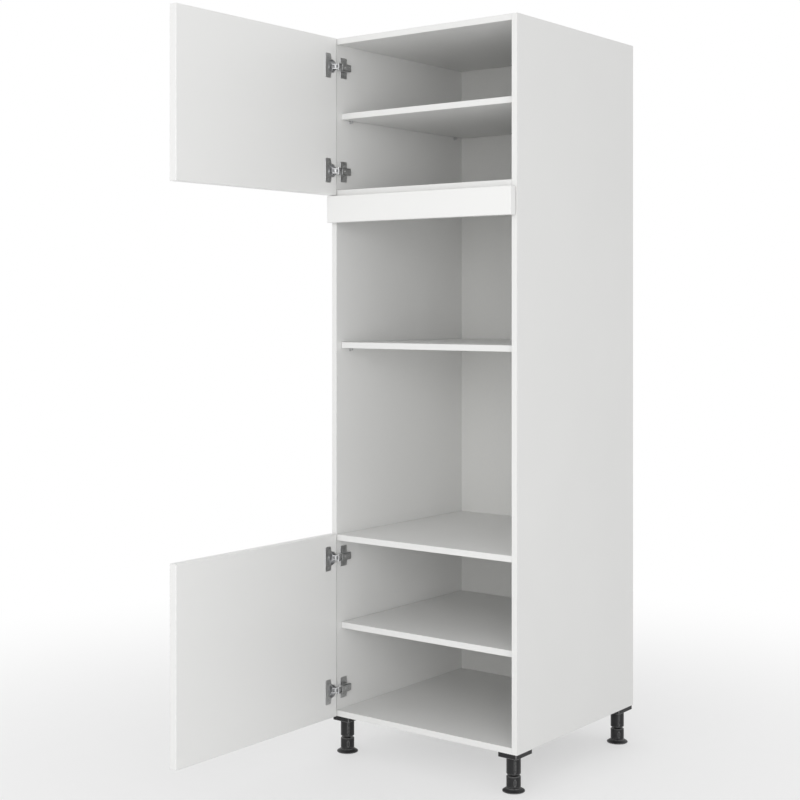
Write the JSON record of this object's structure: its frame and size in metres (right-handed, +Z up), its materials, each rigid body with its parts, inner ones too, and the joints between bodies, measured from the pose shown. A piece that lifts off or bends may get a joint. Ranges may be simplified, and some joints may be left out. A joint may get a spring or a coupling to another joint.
{
  "type": "tall oven housing unit",
  "caption": "Tall kitchen cabinet on adjustable legs with open appliance niches between a top and a bottom cupboard whose doors hang on concealed hinges.",
  "frame": {"origin": "on the floor, in the middle of the carcass's width, in the plane of the carcass's front edges", "axes": "+Z up, +Y from the front towards the wall, +X to the right of someone who faces the unit"},
  "size_m": [0.602, 1.191, 1.94],
  "materials": {
    "white_board": "white melamine-faced chipboard, fine satin",
    "white_front": "white foil-wrapped board, smooth satin",
    "white_back": "white lacquered hardboard",
    "plated_steel": "nickel-plated pressed steel",
    "link_steel": "nickel-plated thick steel",
    "black_plastic": "moulded, fine spark grain"
  },
  "bodies": {
    "root": {"left_side_panel": "white_board", "right_side_panel": "white_board", "bottom_panel": "white_board", "oven_base_shelf": "white_board", "upper_fixed_shelf": "white_board", "top_panel": "white_board", "back_panel": "white_back", "lower_adjustable_shelf": "white_board", "niche_divider_shelf": "white_board", "top_adjustable_shelf": "white_board", "lower_shelf_pin_front_left": "plated_steel", "lower_shelf_pin_front_right": "plated_steel", "lower_shelf_pin_rear_left": "plated_steel", "lower_shelf_pin_rear_right": "plated_steel", "divider_pin_front_left": "plated_steel", "divider_pin_front_right": "plated_steel", "divider_pin_rear_left": "plated_steel", "divider_pin_rear_right": "plated_steel", "top_shelf_pin_front_left": "plated_steel", "top_shelf_pin_front_right": "plated_steel", "top_shelf_pin_rear_left": "plated_steel", "top_shelf_pin_rear_right": "plated_steel", "fascia_panel": "white_front", "fascia_bracket_left": "plated_steel", "fascia_bracket_right": "plated_steel", "top_door_upper_hinge_arm": "plated_steel", "top_door_upper_hinge_plate": "plated_steel", "top_door_lower_hinge_arm": "plated_steel", "top_door_lower_hinge_plate": "plated_steel", "bottom_door_upper_hinge_arm": "plated_steel", "bottom_door_upper_hinge_plate": "plated_steel", "bottom_door_lower_hinge_arm": "plated_steel", "bottom_door_lower_hinge_plate": "plated_steel", "front_left_leg_mount": "black_plastic", "front_right_leg_mount": "black_plastic", "rear_left_leg_mount": "black_plastic", "rear_right_leg_mount": "black_plastic"},
    "top_door": {"top_door": "white_front", "top_door_upper_hinge_cup": "plated_steel", "top_door_lower_hinge_cup": "plated_steel"},
    "top_door_outer_links": {"top_door_upper_outer_link": "link_steel", "top_door_lower_outer_link": "link_steel"},
    "top_door_inner_links": {"top_door_upper_inner_link": "link_steel", "top_door_lower_inner_link": "link_steel"},
    "bottom_door": {"bottom_door": "white_front", "bottom_door_upper_hinge_cup": "plated_steel", "bottom_door_lower_hinge_cup": "plated_steel"},
    "bottom_door_outer_links": {"bottom_door_upper_outer_link": "link_steel", "bottom_door_lower_outer_link": "link_steel"},
    "bottom_door_inner_links": {"bottom_door_upper_inner_link": "link_steel", "bottom_door_lower_inner_link": "link_steel"},
    "front_left_foot": {"front_left_leg_foot": "black_plastic"},
    "front_left_collar": {"front_left_leg_collar": "black_plastic"},
    "front_right_foot": {"front_right_leg_foot": "black_plastic"},
    "front_right_collar": {"front_right_leg_collar": "black_plastic"},
    "rear_left_foot": {"rear_left_leg_foot": "black_plastic"},
    "rear_left_collar": {"rear_left_leg_collar": "black_plastic"},
    "rear_right_foot": {"rear_right_leg_foot": "black_plastic"},
    "rear_right_collar": {"rear_right_leg_collar": "black_plastic"}
  },
  "joints": [
    {"name": "top_door_turn", "type": "hinge", "parent": "root", "child": "top_door", "pos_m": [-0.28984, -0.01268, 1.721], "axis": [0, 0, 1], "range_deg": [-5, 90]},
    {"name": "top_door_outer_links_turn", "type": "hinge", "parent": "root", "child": "top_door_outer_links", "pos_m": [-0.27325, -0.00175, 1.721], "axis": [0, 0, 1], "range_deg": [-7.21, 0.41]},
    {"name": "top_door_inner_links_turn", "type": "hinge", "parent": "root", "child": "top_door_inner_links", "pos_m": [-0.26964, -0.00915, 1.721], "axis": [0, 0, 1], "range_deg": [-44.45, 2.48]},
    {"name": "bottom_door_turn", "type": "hinge", "parent": "root", "child": "bottom_door", "pos_m": [-0.28984, -0.01268, 0.3525], "axis": [0, 0, 1], "range_deg": [-5, 90]},
    {"name": "bottom_door_outer_links_turn", "type": "hinge", "parent": "root", "child": "bottom_door_outer_links", "pos_m": [-0.27325, -0.00175, 0.3525], "axis": [0, 0, 1], "range_deg": [-7.21, 0.41]},
    {"name": "bottom_door_inner_links_turn", "type": "hinge", "parent": "root", "child": "bottom_door_inner_links", "pos_m": [-0.26964, -0.00915, 0.3525], "axis": [0, 0, 1], "range_deg": [-44.45, 2.48]},
    {"name": "front_left_foot_height", "type": "slide", "parent": "root", "child": "front_left_foot", "axis": [0, 0, -1], "range_m": [0, 0.02]},
    {"name": "front_left_collar_turn", "type": "hinge", "parent": "front_left_foot", "child": "front_left_collar", "pos_m": [-0.27, 0.03, 0.025], "axis": [0, 0, 1], "range_deg": [0, 1800]},
    {"name": "front_right_foot_height", "type": "slide", "parent": "root", "child": "front_right_foot", "axis": [0, 0, -1], "range_m": [0, 0.02]},
    {"name": "front_right_collar_turn", "type": "hinge", "parent": "front_right_foot", "child": "front_right_collar", "pos_m": [0.27, 0.03, 0.025], "axis": [0, 0, 1], "range_deg": [0, 1800]},
    {"name": "rear_left_foot_height", "type": "slide", "parent": "root", "child": "rear_left_foot", "axis": [0, 0, -1], "range_m": [0, 0.02]},
    {"name": "rear_left_collar_turn", "type": "hinge", "parent": "rear_left_foot", "child": "rear_left_collar", "pos_m": [-0.27, 0.555, 0.025], "axis": [0, 0, 1], "range_deg": [0, 1800]},
    {"name": "rear_right_foot_height", "type": "slide", "parent": "root", "child": "rear_right_foot", "axis": [0, 0, -1], "range_m": [0, 0.02]},
    {"name": "rear_right_collar_turn", "type": "hinge", "parent": "rear_right_foot", "child": "rear_right_collar", "pos_m": [0.27, 0.555, 0.025], "axis": [0, 0, 1], "range_deg": [0, 1800]}
  ],
  "couplings": [
    {"joint": "top_door_outer_links_turn", "follows": "top_door_turn", "ratio": -0.08},
    {"joint": "top_door_inner_links_turn", "follows": "top_door_turn", "ratio": -0.49374},
    {"joint": "bottom_door_outer_links_turn", "follows": "bottom_door_turn", "ratio": -0.08},
    {"joint": "bottom_door_inner_links_turn", "follows": "bottom_door_turn", "ratio": -0.49374},
    {"joint": "front_left_collar_turn", "follows": "front_left_foot_height", "rad_per_m": 1570.8},
    {"joint": "front_right_collar_turn", "follows": "front_right_foot_height", "rad_per_m": 1570.8},
    {"joint": "rear_left_collar_turn", "follows": "rear_left_foot_height", "rad_per_m": 1570.8},
    {"joint": "rear_right_collar_turn", "follows": "rear_right_foot_height", "rad_per_m": 1570.8}
  ]
}
